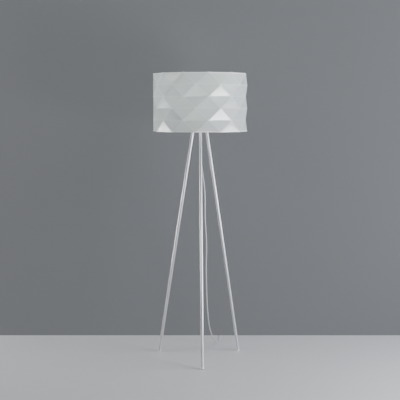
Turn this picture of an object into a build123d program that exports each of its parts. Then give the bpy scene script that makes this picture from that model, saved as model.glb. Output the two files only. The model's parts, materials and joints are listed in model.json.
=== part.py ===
from build123d import *
from math import cos, pi, radians, sin, sqrt, tan
import os

# Tripod floor lamp: a folded twelve-sided drum shade on an E27 holder, carried by a cast hub
# on three tubular legs, with a mains cord that hangs from the hub to a foot switch and a plug.
# Millimetres, +Z up, origin on the lamp's axis at the floor. The front leg stands towards -Y.

# Clearances
FIT = 0.05          # between a pressed or screwed pair of one body
RUN = 0.3           # between pieces that move against each other

# Overall
LAMP_HEIGHT = 1500.0
FOOT_REACH = 249.5  # from the lamp's axis to a leg's axis, at the floor

# Legs
LEG_R = 8.0
LEG_WALL = 1.2
HUB_REACH = 33.0    # from the lamp's axis to a leg's axis, at the leg's seat on the hub
SEAT_Z = LAMP_HEIGHT - 244.0
LEG_AZIMUTHS = {"front": -90.0, "right": 30.0, "left": 150.0}
INSERT_LENGTH = 28.0

# Feet
CAP_LENGTH = 9.0
CAP_RIM = 1.3       # how far a cap stands out past its tube
CAP_END = 3.0
CAP_BEVEL = 0.6
CAP_LIFT = 1.0      # centre of the cap's end above the floor, before its sole is cut flat

# Hub
HUB_THICK = 6.0
BOSS_R = LEG_R + 1.5
BOSS_LENGTH = 14.0
HUB_R = HUB_REACH + BOSS_R + 1.5
HUB_TOP = SEAT_Z + BOSS_LENGTH
BOLT_R = 3.0
BOLT_HEAD_R = BOLT_R + 2.0
BOLT_HEAD = 3.6
BOLT_HEX = 4.0
BOLT_IN_INSERT = 14.0
WASHER_R = BOLT_R + 3.5
WASHER_THICK = 1.2

# Shade
SHADE_R = 245.0     # to the folds' corners
SHADE_TOP = LAMP_HEIGHT
SHADE_HEIGHT = 298.0
SHADE_SIDES = 12
SHADE_ROWS = 5
SHADE_TURN = 7.4    # how far the shade stands turned on the lamp, in degrees
SHADE_SHEET = 1.0
TRIM_THICK = 0.6
TRIM_HEIGHT = 5.0
WIRE_R = 1.75
WIRE_GAP = 0.6
WIRE_BEND = 6.0
WIRE_INSET = 1.5
ARM_WELD = 1.5

# Bulb cap and the holder around it
CAP_R = 13.1
CAP_SHEET = 0.5
THREAD_PLAY = 0.35  # between the bulb's cap and the screw shell
SHELL_R = CAP_R + THREAD_PLAY
SHELL_SHEET = 0.5
SKIRT_WALL = 5.7
THREAD_R = SHELL_R + SHELL_SHEET + FIT + SKIRT_WALL
HOLDER_R = THREAD_R + 0.3
HOLDER_WALL = 2.2
HOLDER_JOIN = HUB_TOP + 24.0
SKIRT_TOP = HOLDER_JOIN + 39.0
COLLAR_R = THREAD_R + 3.3
COLLAR_Z = HOLDER_JOIN + 6.0
COLLAR_THICK = 3.0
INSERT_TOP = COLLAR_Z + COLLAR_THICK + 0.5
CONTACT_TOP = INSERT_TOP + 3.5
CONTACT_SHEET = 0.5
SPIDER_THICK = 2.0
SPIDER_HOLE = THREAD_R + 0.9
SPIDER_OUT = SPIDER_HOLE + 8.4
RING_OUT = THREAD_R + 7.8
RING_HEIGHT = 7.0
TERMINAL_X = 9.0
TERMINAL = (7.0, 8.0, 10.0)
TERMINAL_SCREW_R = 1.5
WIRE_SLEEVE_R = 0.9

# Nipple and cord grip
NIPPLE_R = 5.0
NIPPLE_BORE = NIPPLE_R - 1.25
NIPPLE_LOW = HUB_TOP - 21.0
NIPPLE_HIGH = HUB_TOP + 7.0
NUT_FLATS = 2 * NIPPLE_R + 4.0
NUT_HEIGHT = 4.0
NIPPLE_WASHER_R = NIPPLE_R + 4.0
SOCKET_R = NIPPLE_R + 3.0
GRIP_R = NIPPLE_R + 2.5
GRIP_LOW = NIPPLE_LOW - 9.0
GRIP_HIGH = NIPPLE_LOW + 7.0
GRIP_TAIL = 20.0    # the tapered sleeve below the grip's body
CORD_IN_GRIP = 6.0

# Bulb, heights from its tip
CAP_LOW = 5.5
CAP_HIGH = 27.0
TIP_R = 4.5
TIP_THICK = 1.2
INSULATOR_R = CAP_R - 1.6
DOME_R = 30.0
DOME_WALL = 1.2
DOME_LOW = 62.0
BULB_HEIGHT = 110.0
BOARD_R = 21.0
BOARD_THICK = 1.6
LED_COUNT = 9
LED_CIRCLE = 14.0
LED_SIZE = (3.5, 2.8, 0.8)

# Cord
CORD_R = 2.75
RELIEF_LENGTH = 20.0
RELIEF_R = CORD_R + 2.05
RELIEF_TIP_R = CORD_R + 0.75
RELIEF_NECK_R = CORD_R + 1.15
RELIEF_FLANGE_R = RELIEF_NECK_R + 1.0
RELIEF_FLANGE = 2.0

# Foot switch
SWITCH_X, SWITCH_Y = 135.0, 570.0
SWITCH_WIDTH, SWITCH_LENGTH, SWITCH_HEIGHT = 36.0, 80.0, 22.0
SWITCH_SPLIT = 8.0
SWITCH_CORNER = 9.0
SWITCH_EDGE = 3.0
SWITCH_WALL = 2.0
SWITCH_CORD_Z = 7.0
BUTTON_R = 11.0
BUTTON_STAND = 4.0
BUTTON_DISH = 2.5
BUTTON_FLANGE = 1.8
BUTTON_FLANGE_THICK = 1.5
BUTTON_POST_R = 3.0
BUTTON_POST_LOW = 11.0
SPRING_R = 4.2
SPRING_WIRE_R = 0.4
SPRING_TURNS = 4
SCREW_PITCH = 28.0  # from the switch's middle to each cover screw
SCREW_R = 1.4
SCREW_HEAD_R = 2.6
SCREW_HEAD = 1.6
POST_R = 3.2
POST_LOW = 4.0

# Plug
PLUG_X, PLUG_Y = 72.5, 600.0
PLUG_WIDTH, PLUG_LENGTH, PLUG_HEIGHT = 26.0, 35.0, 13.7
PLUG_CORNER = 4.0
PIN_R = 2.0
PIN_CORE_R = 1.5
PIN_LENGTH = 19.0
PIN_SLEEVE = 10.0
PIN_SLEEVE_R = PIN_R
PIN_ROOT = 8.0
PIN_SPACING = 19.0

# Put-away coil
COIL_X, COIL_Y = 104.75, 690.0
COIL_R = 30.25
COIL_TURNS = 3.5
COIL_PITCH = 5.6
COIL_LIFT = 1.2     # the tie's strap lies under the turns
TIE_WIDTH = 8.0
TIE_THICK = 1.0

# The hanging cord's route, from the grip under the hub to the foot switch
HANGING_ROUTE = [
    (0, 0, 1246),
    (0.4, 0, 1195),
    (3, 1, 1130),
    (5, 2, 1062),
    (12, 3, 993),
    (22, 4, 925),
    (28, 5, 855),
    (26.5, 7, 783),
    (29, 9, 712),
    (34.5, 12, 641),
    (36, 15, 569),
    (34, 19, 497),
    (35, 24, 425),
    (37, 31, 354),
    (40, 42, 284),
    (45, 61, 216),
    (53, 93, 153),
    (65, 139, 99),
    (84, 190, 51),
    (104, 246, 15),
    (120, 305, 2.85),
    (130, 366, 2.85),
    (136.5, 425, 2.85),
    (136, 473, 3.4),
    (135, 510, 7),
    (135, 530, 7),
]
# From the foot switch to the coil, and from the coil to the plug
LEAD_ROUTE = [(135, 610, 7), (135, 630, 7), (135.3, 651, 6.2), (134.9, 671, 4.6), (135, 690, 4.1)]
TAIL_ROUTE = [
    (74.5, 690, 23.7),
    (74.2, 670, 21.2),
    (73.2, 652, 14.5),
    (72.5, 636, 8.4),
    (72.5, 620, 6.85),
    (72.5, 604.5, 6.85),
]

os.makedirs("parts", exist_ok=True)


def write(name, *solids):
    shape = solids[0] if len(solids) == 1 else Compound(children=list(solids))
    export_step(shape, f"parts/{name}.step")


def turned(*outline):
    """A solid of revolution about the lamp's axis, from (radius, height) points."""
    return revolve(Plane.XZ * make_face(Polyline(*outline, close=True)), Axis.Z)


def tube(r_out, r_in, low, high):
    return turned((r_in, low), (r_out, low), (r_out, high), (r_in, high))


def disc(radius, low, high):
    return turned((0, low), (radius, low), (radius, high), (0, high))


def block(x, y, low, high):
    return Pos(0, 0, (low + high) / 2) * Box(x, y, high - low)


def hexagon(flats, low, high):
    return Pos(0, 0, low) * extrude(RegularPolygon(flats / 2, 6, major_radius=False), high - low)


def swept(path, radius):
    return sweep(Plane(origin=path @ 0, z_dir=path % 0) * Circle(radius), path=path)


def rod(start, end, radius):
    return swept(Line(start, end), radius)


def cord_tube(name, route):
    """Straight runs joined by tangent arcs, each as large as its two runs allow."""
    points = [Vector(*p) for p in route]
    runs = [b - a for a, b in zip(points, points[1:])]
    radii = [
        0.45 * min(a.length, b.length) / tan(radians(a.get_angle(b) / 2))
        for a, b in zip(runs, runs[1:])
    ]
    path = FilletPolyline(*points, radius=radii)
    solid = swept(path, CORD_R)
    share = solid.volume / (pi * CORD_R**2 * path.length)
    print(f"{name}: {path.length:.1f} mm, volume against section x length {share:.5f}")
    print("  radii", [round(r) for r in radii], "least", round(min(radii), 1))
    write(name, solid)


# ---------------------------------------------------------------- legs and feet

LEAN = Vector(0, 0, 1).get_angle(Vector(FOOT_REACH - HUB_REACH, 0, SEAT_Z))
FOOT_S = (SEAT_Z - CAP_LIFT) / cos(radians(LEAN))   # along the leg, from its seat to its foot
HEAD_S = BOSS_LENGTH + WASHER_THICK


def on_leg(azimuth):
    """The leg's own frame: its origin on the hub's seat, its Z up along the leg."""
    return Rot(0, 0, azimuth) * Pos(HUB_REACH, 0, SEAT_Z) * Rot(0, -LEAN, 0)


def leg_tube():
    bore = LEG_R - LEG_WALL
    return tube(LEG_R, bore, CAP_END - FOOT_S, 0)


def leg_insert():
    return tube(LEG_R - LEG_WALL - FIT, BOLT_R + FIT, -INSERT_LENGTH, 0)


def foot_cap():
    rim = LEG_R + CAP_RIM
    cup = turned(
        (0, 0),
        (rim - CAP_BEVEL, 0),
        (rim, CAP_BEVEL),
        (rim, CAP_LENGTH),
        (LEG_R + FIT, CAP_LENGTH),
        (LEG_R + FIT, CAP_END),
        (0, CAP_END),
    )
    return Pos(0, 0, -FOOT_S) * cup


def leg_bolt():
    head = disc(BOLT_HEAD_R, HEAD_S, HEAD_S + BOLT_HEAD) - hexagon(
        BOLT_HEX, HEAD_S + BOLT_HEAD / 2, HEAD_S + BOLT_HEAD
    )
    return head + disc(BOLT_R, -BOLT_IN_INSERT, HEAD_S)


above_floor = block(4 * FOOT_REACH, 4 * FOOT_REACH, 0, SEAT_Z)
for side, azimuth in LEG_AZIMUTHS.items():
    write(f"leg_{side}", on_leg(azimuth) * leg_tube())
    write(f"leg_insert_{side}", on_leg(azimuth) * leg_insert())
    write(f"foot_cap_{side}", (on_leg(azimuth) * foot_cap()) & above_floor)

write("leg_bolts", *[on_leg(a) * leg_bolt() for a in LEG_AZIMUTHS.values()])
washer = tube(WASHER_R, BOLT_R + RUN, BOSS_LENGTH, HEAD_S)
write("leg_washers", *[on_leg(a) * washer for a in LEG_AZIMUTHS.values()])

# ---------------------------------------------------------------- hub

hub_low = HUB_TOP - HUB_THICK
hub = tube(HUB_R, NIPPLE_R + FIT, hub_low, HUB_TOP)
for azimuth in LEG_AZIMUTHS.values():
    hub += on_leg(azimuth) * disc(BOSS_R, 0, BOSS_LENGTH)
for azimuth in LEG_AZIMUTHS.values():
    hub -= on_leg(azimuth) * disc(BOLT_R + RUN, -1, BOSS_LENGTH + 1)
    hub -= on_leg(azimuth) * disc(BOSS_R, BOSS_LENGTH, 2 * BOSS_LENGTH)
write("leg_hub", hub)

# ---------------------------------------------------------------- nipple and cord grip

write("nipple", tube(NIPPLE_R, NIPPLE_BORE, NIPPLE_LOW, NIPPLE_HIGH))
nut_high = hub_low - WASHER_THICK
nut = hexagon(NUT_FLATS, nut_high - NUT_HEIGHT, nut_high)
write("nipple_nut", nut - disc(NIPPLE_R + FIT, nut_high - NUT_HEIGHT, nut_high))
write("nipple_washer", tube(NIPPLE_WASHER_R, NIPPLE_R + FIT, nut_high, hub_low))
grip = turned(
    (CORD_R, GRIP_LOW - GRIP_TAIL),
    (RELIEF_TIP_R, GRIP_LOW - GRIP_TAIL),
    (GRIP_R - 1.5, GRIP_LOW),
    (GRIP_R, GRIP_LOW + 1.5),
    (GRIP_R, GRIP_HIGH),
    (NIPPLE_R + FIT, GRIP_HIGH),
    (NIPPLE_R + FIT, NIPPLE_LOW),
    (CORD_R, NIPPLE_LOW),
)
write("cord_grip", grip)

# ---------------------------------------------------------------- lamp holder

floor_top = HUB_TOP + HOLDER_WALL
holder_cap = turned(
    (NIPPLE_R + FIT, HUB_TOP),
    (HOLDER_R, HUB_TOP),
    (HOLDER_R, HOLDER_JOIN),
    (HOLDER_R - HOLDER_WALL, HOLDER_JOIN),
    (HOLDER_R - HOLDER_WALL, floor_top),
    (SOCKET_R, floor_top),
    (SOCKET_R, NIPPLE_HIGH + 1),
    (NIPPLE_R + FIT, NIPPLE_HIGH + 1),
)
write("holder_cap", holder_cap)

skirt_in = SHELL_R + SHELL_SHEET + FIT
insert_r = HOLDER_R - HOLDER_WALL
skirt = turned(
    (insert_r, HOLDER_JOIN),
    (HOLDER_R, HOLDER_JOIN),
    (HOLDER_R, COLLAR_Z),
    (COLLAR_R, COLLAR_Z),
    (COLLAR_R, COLLAR_Z + COLLAR_THICK),
    (THREAD_R, COLLAR_Z + COLLAR_THICK),
    (THREAD_R, SKIRT_TOP),
    (skirt_in, SKIRT_TOP),
    (skirt_in, INSERT_TOP + FIT),
    (insert_r, INSERT_TOP + FIT),
)
write("holder_skirt", skirt)
write("contact_insert", disc(insert_r - FIT, HOLDER_JOIN + 0.2, INSERT_TOP))
write("screw_shell", tube(SHELL_R + SHELL_SHEET, SHELL_R, INSERT_TOP + 1, SKIRT_TOP - 1))

spring_leaf = Polyline(
    (-9, INSERT_TOP),
    (-5, INSERT_TOP),
    (0, CONTACT_TOP - CONTACT_SHEET),
    (4, CONTACT_TOP - 3 * CONTACT_SHEET),
    (4, CONTACT_TOP - 2 * CONTACT_SHEET),
    (0, CONTACT_TOP),
    (-5, INSERT_TOP + CONTACT_SHEET),
    (-9, INSERT_TOP + CONTACT_SHEET),
    close=True,
)
write("centre_contact", extrude(Plane.XZ * make_face(spring_leaf), 2.5, both=True))

terminal_top = HOLDER_JOIN + 0.2
terminal_low = terminal_top - TERMINAL[2]
terminal = block(TERMINAL[0], TERMINAL[1], terminal_low, terminal_top)
screw_z = (terminal_low + terminal_top) / 2
screw_hole = Pos(0, -TERMINAL[1] / 2, screw_z) * Rot(90, 0, 0) * Cylinder(
    TERMINAL_SCREW_R + FIT, TERMINAL[1]
)
screw = Pos(0, -TERMINAL[1] / 2, screw_z) * Rot(90, 0, 0) * (
    Cylinder(TERMINAL_SCREW_R, TERMINAL[1] - 1)
)
sides = (Pos(TERMINAL_X, 0, 0), Pos(-TERMINAL_X, 0, 0))
write("terminal_blocks", *[s * (terminal - screw_hole) for s in sides])
write("terminal_screws", *[s * screw for s in sides])

for name, x in (("live_wire", 1), ("neutral_wire", -1)):
    route = [
        (x * 1.3, 0, GRIP_LOW + CORD_IN_GRIP),
        (x * 1.6, 0, GRIP_HIGH + 9),
        (x * 2.2, 0, NIPPLE_HIGH + 3),
        (x * (TERMINAL_X - 0.4), 0, NIPPLE_HIGH + 4.2),
        (x * TERMINAL_X, 0, terminal_low),
    ]
    write(name, swept(FilletPolyline(*route, radius=[20, 1.2, 1.2]), WIRE_SLEEVE_R))

seat_z = COLLAR_Z + COLLAR_THICK + RUN
spider_top = seat_z + SPIDER_THICK
ring_low = spider_top + RUN
ring = tube(RING_OUT, THREAD_R + FIT, ring_low, ring_low + RING_HEIGHT)
grooves = [
    Rot(0, 0, 30 * k) * Pos(RING_OUT + 1.2, 0, ring_low + RING_HEIGHT / 2) * Cylinder(2.2, RING_HEIGHT)
    for k in range(12)
]
write("holder_ring", ring - grooves)

# ---------------------------------------------------------------- bulb

bulb_low = CONTACT_TOP + RUN
write("bulb_tip", disc(TIP_R, bulb_low, bulb_low + TIP_THICK))
insulator_low = bulb_low + TIP_THICK + RUN
insulator = turned(
    (0, insulator_low),
    (TIP_R + 1.5, insulator_low),
    (INSULATOR_R, bulb_low + CAP_LOW),
    (INSULATOR_R, bulb_low + CAP_LOW + 2.5),
    (0, bulb_low + CAP_LOW + 2.5),
)
write("bulb_insulator", insulator)
bulb_cap = turned(
    (INSULATOR_R + FIT, bulb_low + CAP_LOW),
    (CAP_R, bulb_low + CAP_LOW + 1.5),
    (CAP_R, bulb_low + CAP_HIGH),
    (CAP_R - CAP_SHEET, bulb_low + CAP_HIGH),
    (CAP_R - CAP_SHEET, bulb_low + CAP_LOW + 2),
    (INSULATOR_R + FIT, bulb_low + CAP_LOW + 1),
)
write("bulb_cap", bulb_cap)

dome_z = bulb_low + BULB_HEIGHT - DOME_R
dome_edge_r = sqrt(DOME_R**2 - (dome_z - bulb_low - DOME_LOW) ** 2)
neck_r = CAP_R - CAP_SHEET - FIT
housing = turned(
    (neck_r - 1.5, bulb_low + CAP_HIGH - 8),
    (neck_r, bulb_low + CAP_HIGH - 8),
    (neck_r, bulb_low + CAP_HIGH),
    (CAP_R + 1.2, bulb_low + CAP_HIGH),
    (CAP_R + 2.6, bulb_low + CAP_HIGH + 9),
    (dome_edge_r - 3.6, bulb_low + DOME_LOW - 13),
    (dome_edge_r, bulb_low + DOME_LOW),
    (dome_edge_r - 1.6, bulb_low + DOME_LOW),
    (dome_edge_r - 5.2, bulb_low + DOME_LOW - 13),
    (CAP_R + 1, bulb_low + CAP_HIGH + 9),
    (neck_r - 1.5, bulb_low + CAP_HIGH + 1.5),
)
write("bulb_housing", housing)
dome = Pos(0, 0, dome_z) * (Sphere(DOME_R) - Sphere(DOME_R - DOME_WALL))
write("bulb_diffuser", dome & disc(2 * DOME_R, bulb_low + DOME_LOW, bulb_low + BULB_HEIGHT + 1))
board_low = bulb_low + DOME_LOW + FIT
write("led_board", disc(BOARD_R, board_low, board_low + BOARD_THICK))
led = block(*LED_SIZE[:2], board_low + BOARD_THICK, board_low + BOARD_THICK + LED_SIZE[2])
leds = [Rot(0, 0, 360 / LED_COUNT * k) * Pos(LED_CIRCLE, 0, 0) * led for k in range(LED_COUNT)]
write("led_chips", *leds)
write("driver_board", block(18, 1.6, bulb_low + CAP_HIGH - 6, board_low - 4))

# ---------------------------------------------------------------- shade

SHADE_STEP = 360 / SHADE_SIDES
SHADE_ROW = SHADE_HEIGHT / SHADE_ROWS
SHADE_LOW = SHADE_TOP - SHADE_HEIGHT
HALF_SIDE = cos(radians(SHADE_STEP / 2))


def fold_line(line, radius):
    """The corners of one fold line; every second line stands half a side further round."""
    first = -90 + SHADE_TURN + SHADE_STEP / 2 * (line % 2)
    z = SHADE_TOP - line * SHADE_ROW
    turns = [radians(first + SHADE_STEP * k) for k in range(SHADE_SIDES)]
    return [(radius * cos(t), radius * sin(t), z) for t in turns]


def facet(*corners):
    return Face(Wire.make_polygon([Vector(*c) for c in corners], close=True))


def folded_walls(radius):
    """The rows of leaning triangles between the fold lines."""
    faces = []
    for row in range(SHADE_ROWS):
        upper = fold_line(row, radius)
        lower = fold_line(row + 1, radius)
        ahead, behind = (lower, upper) if row % 2 == 0 else (upper, lower)
        for k in range(SHADE_SIDES):
            after = (k + 1) % SHADE_SIDES
            faces.append(facet(behind[k], ahead[k], behind[after]))
            faces.append(facet(ahead[k], ahead[after], behind[after]))
    return faces


def folded_drum(r_out, r_in):
    """A drum of folded sheet, open at the top and at the bottom."""
    faces = folded_walls(r_out) + folded_walls(r_in)
    for line in (0, SHADE_ROWS):
        outer, inner = fold_line(line, r_out), fold_line(line, r_in)
        for k in range(SHADE_SIDES):
            after = (k + 1) % SHADE_SIDES
            faces.append(facet(outer[k], outer[after], inner[after], inner[k]))
    return Solid(Shell(faces))


def rim_wire(line, z):
    """A steel wire bent to the shade's twelve sides, just inside the sheet."""
    radius = SHADE_R - SHADE_SHEET - (WIRE_R + WIRE_GAP) / HALF_SIDE
    points = [(x, y, z) for x, y, _ in fold_line(line, radius)]
    path = FilletPolyline(*points, radius=WIRE_BEND, close=True)
    return swept(path, WIRE_R)


write("shade_skin", folded_drum(SHADE_R, SHADE_R - SHADE_SHEET))
trim = folded_drum(SHADE_R + TRIM_THICK, SHADE_R)
wide = 3 * SHADE_R
write("shade_trim_top", trim & block(wide, wide, SHADE_TOP - TRIM_HEIGHT, SHADE_TOP))
write("shade_trim_bottom", trim & block(wide, wide, SHADE_LOW, SHADE_LOW + TRIM_HEIGHT))

wire_low = SHADE_LOW + WIRE_R + WIRE_INSET
write("shade_wire_top", rim_wire(0, SHADE_TOP - WIRE_R - WIRE_INSET))
write("shade_wire_bottom", rim_wire(SHADE_ROWS, wire_low))
write("spider_ring", tube(SPIDER_OUT, SPIDER_HOLE, seat_z, spider_top))

wire_reach = (SHADE_R - SHADE_SHEET) * HALF_SIDE - WIRE_R - WIRE_GAP
arm_from = (SPIDER_OUT - ARM_WELD, 0, (seat_z + spider_top) / 2)
arm_to = (wire_reach, 0, wire_low)
for k in range(3):
    azimuth = -90 + SHADE_TURN + SHADE_STEP * (1 + 4 * k)
    write(f"spider_arm_{k + 1}", Rot(0, 0, azimuth) * rod(arm_from, arm_to, WIRE_R))

# ---------------------------------------------------------------- foot switch


def rounded_block(width, length, low, high, corner, edge):
    body = block(width, length, low, high)
    body = fillet(body.edges().filter_by(Axis.Z), corner)
    return fillet(body.edges().group_by(Axis.Z)[-1], edge)


def relief(into_wall):
    """A tapered cord relief along +Y, its shoulder on the wall's outside at the origin."""
    outline = [
        (CORD_R, -into_wall - RELIEF_FLANGE),
        (RELIEF_FLANGE_R, -into_wall - RELIEF_FLANGE),
        (RELIEF_FLANGE_R, -into_wall - FIT),
        (RELIEF_NECK_R, -into_wall - FIT),
        (RELIEF_NECK_R, 0),
        (RELIEF_R, 0),
        (RELIEF_TIP_R, RELIEF_LENGTH),
        (CORD_R, RELIEF_LENGTH),
    ]
    return Rot(-90, 0, 0) * turned(*outline)


at_switch = Pos(SWITCH_X, SWITCH_Y, 0)
half_length = SWITCH_LENGTH / 2
roof = SWITCH_HEIGHT - SWITCH_WALL
case = rounded_block(
    SWITCH_WIDTH, SWITCH_LENGTH, 0, SWITCH_HEIGHT, SWITCH_CORNER, SWITCH_EDGE
) - rounded_block(
    SWITCH_WIDTH - 2 * SWITCH_WALL,
    SWITCH_LENGTH - 2 * SWITCH_WALL,
    SWITCH_WALL,
    roof,
    SWITCH_CORNER - SWITCH_WALL,
    SWITCH_EDGE / 2,
)
case -= Pos(0, 0, SWITCH_CORD_Z) * Rot(90, 0, 0) * Cylinder(RELIEF_NECK_R + FIT, SWITCH_LENGTH + 2)
base = case & block(SWITCH_WIDTH, SWITCH_LENGTH, 0, SWITCH_SPLIT)
cover = case & block(SWITCH_WIDTH, SWITCH_LENGTH, SWITCH_SPLIT, SWITCH_HEIGHT)
cover -= disc(BUTTON_R + RUN, roof - 1, SWITCH_HEIGHT + 1)
for y in (-SCREW_PITCH, SCREW_PITCH):
    base += Pos(0, y, 0) * disc(POST_R, SWITCH_WALL, POST_LOW)
    base -= Pos(0, y, 0) * disc(SCREW_R + 0.2, -1, POST_LOW + 1)
    base -= Pos(0, y, 0) * disc(SCREW_HEAD_R + 0.2, -1, SWITCH_WALL)
    cover += Pos(0, y, 0) * tube(POST_R, SCREW_R + FIT, POST_LOW, roof)
write("switch_base", at_switch * base)
write("switch_cover", at_switch * cover)

switch_screw = disc(SCREW_HEAD_R, SWITCH_WALL - SCREW_HEAD, SWITCH_WALL)
switch_screw += disc(SCREW_R, SWITCH_WALL, SWITCH_SPLIT + 5)
both_ends = (Pos(0, SCREW_PITCH, 0), Pos(0, -SCREW_PITCH, 0))
write("switch_screws", *[at_switch * end * switch_screw for end in both_ends])

button_top = SWITCH_HEIGHT + BUTTON_STAND
flange_top = roof - RUN
button = turned(
    (0, button_top),
    (BUTTON_R - BUTTON_DISH, button_top),
    (BUTTON_R, button_top - BUTTON_DISH / 2),
    (BUTTON_R, flange_top),
    (BUTTON_R + BUTTON_FLANGE, flange_top),
    (BUTTON_R + BUTTON_FLANGE, flange_top - BUTTON_FLANGE_THICK),
    (BUTTON_POST_R, flange_top - BUTTON_FLANGE_THICK),
    (BUTTON_POST_R, BUTTON_POST_LOW),
    (0, BUTTON_POST_LOW),
)
write("switch_button", at_switch * button)

spring_low = SWITCH_WALL + SPRING_WIRE_R + FIT
spring_high = flange_top - BUTTON_FLANGE_THICK - SPRING_WIRE_R - FIT
spring_height = spring_high - spring_low
helix = Helix(spring_height / SPRING_TURNS, spring_height, SPRING_R, center=(0, 0, spring_low))
write("switch_spring", at_switch * swept(helix, SPRING_WIRE_R))
contact = block(5, 14, SWITCH_WALL, SWITCH_WALL + 1)
contact_places = (Pos(8.5, 0, 0), Pos(-8.5, 0, 0))
write("switch_contacts", *[at_switch * place * contact for place in contact_places])

far_end = Pos(SWITCH_X, SWITCH_Y + half_length, SWITCH_CORD_Z)
near_end = Pos(SWITCH_X, SWITCH_Y - half_length, SWITCH_CORD_Z) * Rot(0, 0, 180)
write("switch_relief_in", near_end * relief(SWITCH_WALL))
write("switch_relief_out", far_end * relief(SWITCH_WALL))

# ---------------------------------------------------------------- plug

plug_axis = PLUG_HEIGHT / 2
plug_face = PLUG_Y - PLUG_LENGTH
body = Pos(PLUG_X, PLUG_Y - PLUG_LENGTH / 2, plug_axis) * Box(PLUG_WIDTH, PLUG_LENGTH, PLUG_HEIGHT)
body = fillet(body.edges().filter_by(Axis.Y), PLUG_CORNER)


def along_pin(x, radius, start, end):
    """A round stretch of a pin, its length counted out from the plug's face."""
    outward = Rot(90, 0, 0) * disc(radius, start, end)
    return Pos(PLUG_X + x, plug_face, plug_axis) * outward


pins, sleeves = [], []
for x in (-PIN_SPACING / 2, PIN_SPACING / 2):
    core = along_pin(x, PIN_CORE_R, -PIN_ROOT, PIN_SLEEVE)
    pins.append(core + along_pin(x, PIN_R, PIN_SLEEVE, PIN_LENGTH))
    sleeve = along_pin(x, PIN_SLEEVE_R, 0, PIN_SLEEVE)
    sleeves.append(sleeve - along_pin(x, PIN_CORE_R + FIT, 0, PIN_SLEEVE))
    body -= along_pin(x, PIN_CORE_R + FIT, -PIN_ROOT, 1)
body -= Pos(PLUG_X, PLUG_Y, plug_axis) * Rot(90, 0, 0) * Cylinder(RELIEF_FLANGE_R + FIT, 8)
write("plug_body", body)
write("plug_pins", *pins)
write("pin_sleeves", *sleeves)
plug_relief = Rot(-90, 0, 0) * turned(
    (CORD_R, -4),
    (RELIEF_FLANGE_R, -4),
    (RELIEF_FLANGE_R, 0),
    (RELIEF_R, 0),
    (RELIEF_TIP_R, RELIEF_LENGTH),
    (CORD_R, RELIEF_LENGTH),
)
write("plug_relief", Pos(PLUG_X, PLUG_Y, plug_axis) * plug_relief)

# ---------------------------------------------------------------- cord

cord_tube("cord_hanging", HANGING_ROUTE)
cord_tube("cord_lead", LEAD_ROUTE)
cord_tube("cord_tail", TAIL_ROUTE)
coil_low = COIL_LIFT + 0.05
coil_high = COIL_LIFT + 2 * CORD_R + 0.2 + COIL_TURNS * COIL_PITCH
coil = tube(COIL_R + CORD_R + 0.1, COIL_R - CORD_R - 0.1, coil_low, coil_high)
write("cord_coil", Pos(COIL_X, COIL_Y, 0) * coil)

tie_inside = 2 * CORD_R + 0.9
tie = Pos(0, COIL_R, 0) * (
    block(TIE_WIDTH, tie_inside + 2 * TIE_THICK, coil_low - TIE_THICK - FIT, coil_high + TIE_THICK + FIT)
    - block(TIE_WIDTH, tie_inside, coil_low - FIT, coil_high + FIT)
)
write("cord_tie", Pos(COIL_X, COIL_Y, 0) * tie)
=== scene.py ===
import bpy
import json
import math
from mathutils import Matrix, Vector


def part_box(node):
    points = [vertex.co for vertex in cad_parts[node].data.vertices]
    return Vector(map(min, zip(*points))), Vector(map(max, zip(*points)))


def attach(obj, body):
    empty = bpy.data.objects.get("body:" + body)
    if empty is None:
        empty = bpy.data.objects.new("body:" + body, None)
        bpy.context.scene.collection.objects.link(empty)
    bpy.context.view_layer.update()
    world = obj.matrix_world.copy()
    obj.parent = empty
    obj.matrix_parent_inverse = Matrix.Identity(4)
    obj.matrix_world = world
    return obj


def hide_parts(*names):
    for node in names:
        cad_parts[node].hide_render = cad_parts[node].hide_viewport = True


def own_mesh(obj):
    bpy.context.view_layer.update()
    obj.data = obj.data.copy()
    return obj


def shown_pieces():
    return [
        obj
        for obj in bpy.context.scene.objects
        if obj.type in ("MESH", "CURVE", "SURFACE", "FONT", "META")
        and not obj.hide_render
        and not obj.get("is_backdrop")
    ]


# The looks of a tripod floor lamp: a drum shade folded from one translucent sheet, satin nickel
# legs, a pale mains cord with its foot switch and plug. Metres, +Z up, the lamp's axis is Z.

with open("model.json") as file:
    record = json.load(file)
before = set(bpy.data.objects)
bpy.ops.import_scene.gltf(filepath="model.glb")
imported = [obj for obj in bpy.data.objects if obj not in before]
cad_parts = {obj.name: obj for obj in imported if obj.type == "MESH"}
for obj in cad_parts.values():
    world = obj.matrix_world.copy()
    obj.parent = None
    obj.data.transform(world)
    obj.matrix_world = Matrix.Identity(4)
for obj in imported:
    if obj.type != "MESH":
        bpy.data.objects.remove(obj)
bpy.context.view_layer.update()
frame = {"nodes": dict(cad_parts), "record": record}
nodes = frame["nodes"]


def new_object(name, data):
    thing = bpy.data.objects.new(name, data)
    bpy.context.scene.collection.objects.link(thing)
    return thing


# ---------------------------------------------------------------- camera

CAMERA_DISTANCE = 4.988
CAMERA_HEIGHT = 1.316
CAMERA_AZIMUTH = math.radians(-92.8)
CAMERA_TILT = math.radians(5.44)    # below the level
CAMERA_LENS = 85.7                  # millimetres, as the sensor is
CAMERA_SENSOR = 36


def make_camera():
    camera = new_object("camera", bpy.data.cameras.new("camera"))
    camera.data.lens = CAMERA_LENS
    camera.data.sensor_width = CAMERA_SENSOR
    camera.location = (
        CAMERA_DISTANCE * math.cos(CAMERA_AZIMUTH),
        CAMERA_DISTANCE * math.sin(CAMERA_AZIMUTH),
        CAMERA_HEIGHT,
    )
    camera.rotation_euler = (math.pi / 2 - CAMERA_TILT, 0, CAMERA_AZIMUTH + math.pi / 2)
    bpy.context.scene.camera = camera


make_camera()

# ---------------------------------------------------------------- cords

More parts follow.
